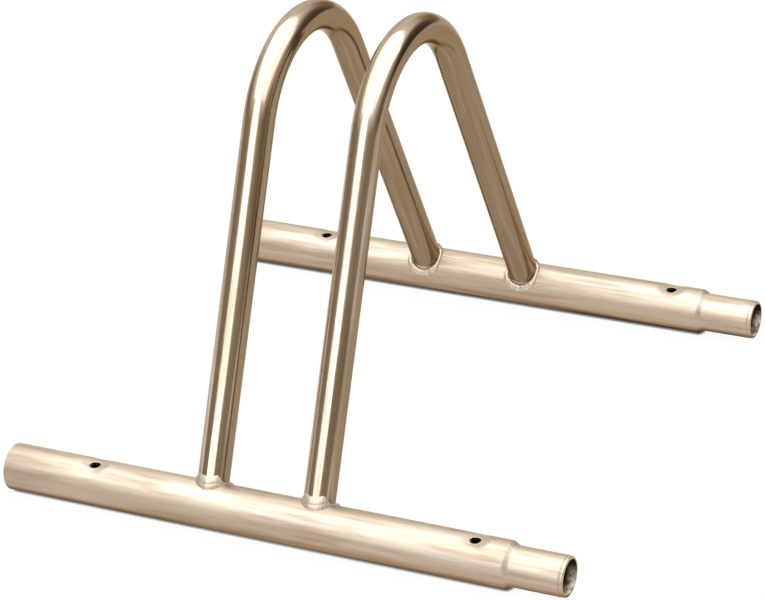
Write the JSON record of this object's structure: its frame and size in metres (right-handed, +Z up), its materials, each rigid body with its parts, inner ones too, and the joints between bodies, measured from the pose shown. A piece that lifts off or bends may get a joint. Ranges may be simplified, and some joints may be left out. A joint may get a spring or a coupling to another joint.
{
  "type": "bike rack",
  "caption": "Low floor rack for a bicycle wheel: bent steel tube hoops welded across parallel base tubes that have an open socket at one end and a swaged spigot at the other.",
  "frame": {"origin": "on the ground, in the middle of the footprint", "axes": "+X along the base tubes towards the spigots, +Y from the front tube to the rear tube, +Z up"},
  "size_m": [0.38, 0.363, 0.28],
  "materials": {
    "base_tubes": "bright zinc plate over drawn tube, satin, warm tint",
    "hoops": "bright zinc plate over drawn tube, satin, warm tint",
    "welds": "zinc plated weld bead, rippled"
  },
  "bodies": {
    "root": {"front_base_tube": "base_tubes", "rear_base_tube": "base_tubes", "left_hoop": "hoops", "right_hoop": "hoops", "left_hoop_front_weld": "welds", "left_hoop_rear_weld": "welds", "right_hoop_front_weld": "welds", "right_hoop_rear_weld": "welds"}
  },
  "joints": []
}
